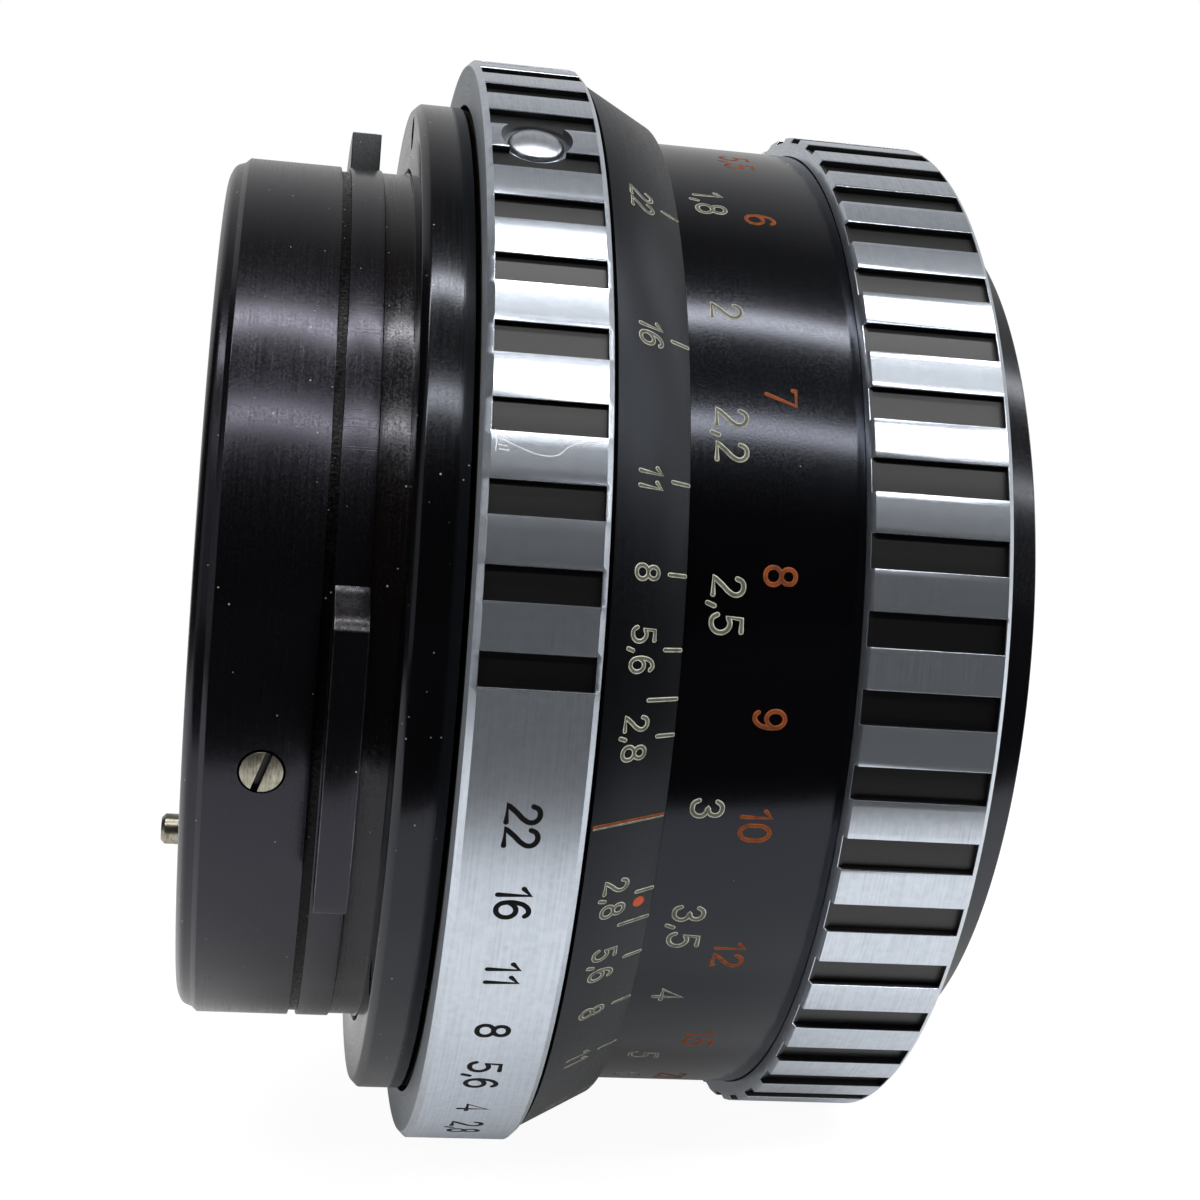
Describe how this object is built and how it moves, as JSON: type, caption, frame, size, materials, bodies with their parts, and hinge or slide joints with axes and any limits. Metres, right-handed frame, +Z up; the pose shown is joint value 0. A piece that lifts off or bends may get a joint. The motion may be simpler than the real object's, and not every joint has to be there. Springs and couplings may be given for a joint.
{
  "type": "camera lens",
  "caption": "Black and bright-metal portrait lens with a breech-lock bayonet, slotted aperture and focus rings, an iris and an automatic diaphragm pin.",
  "frame": {"origin": "on the optical axis, at the plane of the flange's seat face", "axes": "+X along the optical axis toward the subject, +Z up, -Y toward the viewer of the scales"},
  "size_m": [0.0519, 0.076, 0.076],
  "materials": {
    "black_anodised": "satin black anodised",
    "matt_black": "matt black",
    "bright": "bright turned",
    "steel": "polished",
    "brass": "turned",
    "glass": "coated, polished"
  },
  "bodies": {
    "mount": {"mount_tube": "black_anodised", "locating_screw": "steel", "flange_ring": "black_anodised", "flange_screw_1": "steel", "flange_screw_2": "steel", "flange_screw_3": "steel", "fixed_barrel": "brass", "guide_pin": "steel", "depth_scale_cone": "black_anodised", "rear_plate": "matt_black", "pin_guide_ring": "matt_black", "pin_spring": "steel"},
    "aperture_pin": {"aperture_pin": "steel"},
    "aperture_ring": {"aperture_ring": "bright"},
    "stop_down_button": {"stop_down_button": "steel"},
    "optics_unit": {"optics_barrel": "matt_black", "front_ring": "black_anodised", "front_retaining_ring": "matt_black", "front_cell": "matt_black", "lens_1": "glass", "lens_2": "glass", "lens_3": "glass", "rear_cell": "matt_black", "lens_4": "glass", "lens_5": "glass", "rear_retaining_ring": "matt_black", "iris_base": "matt_black"},
    "focus_ring": {"distance_ring": "black_anodised", "focus_grip": "bright", "focus_nut": "brass"},
    "iris_drive": {"iris_drive_ring": "brass"},
    "iris_blade_1": {"iris_blade_1": "matt_black"},
    "iris_blade_2": {"iris_blade_2": "matt_black"},
    "iris_blade_3": {"iris_blade_3": "matt_black"},
    "iris_blade_4": {"iris_blade_4": "matt_black"},
    "iris_blade_5": {"iris_blade_5": "matt_black"},
    "iris_blade_6": {"iris_blade_6": "matt_black"},
    "iris_blade_7": {"iris_blade_7": "matt_black"},
    "iris_blade_8": {"iris_blade_8": "matt_black"}
  },
  "joints": [
    {"name": "aperture_turn", "type": "hinge", "parent": "mount", "child": "aperture_ring", "pos_m": [0.00715, 0, 0], "axis": [1, 0, 0], "range_deg": [-44.7, 0]},
    {"name": "button_press", "type": "slide", "parent": "aperture_ring", "child": "stop_down_button", "axis": [0, 0.6547, -0.7559], "range_m": [0, 0.0009], "stiffness_N_per_m": 400},
    {"name": "pin_press", "type": "slide", "parent": "mount", "child": "aperture_pin", "axis": [1, 0, 0], "range_m": [0, 0.003], "stiffness_N_per_m": 300, "deforming": ["pin_spring"]},
    {"name": "optics_slide", "type": "slide", "parent": "mount", "child": "optics_unit", "axis": [1, 0, 0], "range_m": [-0.00226, 0.00544]},
    {"name": "focus_turn", "type": "hinge", "parent": "optics_unit", "child": "focus_ring", "pos_m": [0.02, 0, 0], "axis": [1, 0, 0], "range_deg": [-97, 233.5]},
    {"name": "iris_turn", "type": "hinge", "parent": "optics_unit", "child": "iris_drive", "pos_m": [0.01771, 0, 0], "axis": [1, 0, 0], "range_deg": [-44.8, 0]},
    {"name": "blade_swing_1", "type": "hinge", "parent": "optics_unit", "child": "iris_blade_1", "pos_m": [0.01471, -0.022, 0], "axis": [1, 0, 0], "range_deg": [0, 30.4]},
    {"name": "blade_swing_2", "type": "hinge", "parent": "optics_unit", "child": "iris_blade_2", "pos_m": [0.01501, -0.01556, 0.01556], "axis": [1, 0, 0], "range_deg": [0, 30.4]},
    {"name": "blade_swing_3", "type": "hinge", "parent": "optics_unit", "child": "iris_blade_3", "pos_m": [0.01531, 0, 0.022], "axis": [1, 0, 0], "range_deg": [0, 30.4]},
    {"name": "blade_swing_4", "type": "hinge", "parent": "optics_unit", "child": "iris_blade_4", "pos_m": [0.01561, 0.01556, 0.01556], "axis": [1, 0, 0], "range_deg": [0, 30.4]},
    {"name": "blade_swing_5", "type": "hinge", "parent": "optics_unit", "child": "iris_blade_5", "pos_m": [0.01591, 0.022, 0], "axis": [1, 0, 0], "range_deg": [0, 30.4]},
    {"name": "blade_swing_6", "type": "hinge", "parent": "optics_unit", "child": "iris_blade_6", "pos_m": [0.01621, 0.01556, -0.01556], "axis": [1, 0, 0], "range_deg": [0, 30.4]},
    {"name": "blade_swing_7", "type": "hinge", "parent": "optics_unit", "child": "iris_blade_7", "pos_m": [0.01651, 0, -0.022], "axis": [1, 0, 0], "range_deg": [0, 30.4]},
    {"name": "blade_swing_8", "type": "hinge", "parent": "optics_unit", "child": "iris_blade_8", "pos_m": [0.01681, -0.01556, -0.01556], "axis": [1, 0, 0], "range_deg": [0, 30.4]}
  ],
  "couplings": [
    {"joint": "optics_slide", "follows": "focus_turn", "m_per_rad": 0.0013324},
    {"joint": "iris_turn", "follows": "aperture_turn", "ratio": 1},
    {"joint": "blade_swing_1", "follows": "aperture_turn", "ratio": -0.67785},
    {"joint": "blade_swing_2", "follows": "aperture_turn", "ratio": -0.67785},
    {"joint": "blade_swing_3", "follows": "aperture_turn", "ratio": -0.67785},
    {"joint": "blade_swing_4", "follows": "aperture_turn", "ratio": -0.67785},
    {"joint": "blade_swing_5", "follows": "aperture_turn", "ratio": -0.67785},
    {"joint": "blade_swing_6", "follows": "aperture_turn", "ratio": -0.67785},
    {"joint": "blade_swing_7", "follows": "aperture_turn", "ratio": -0.67785},
    {"joint": "blade_swing_8", "follows": "aperture_turn", "ratio": -0.67785}
  ]
}
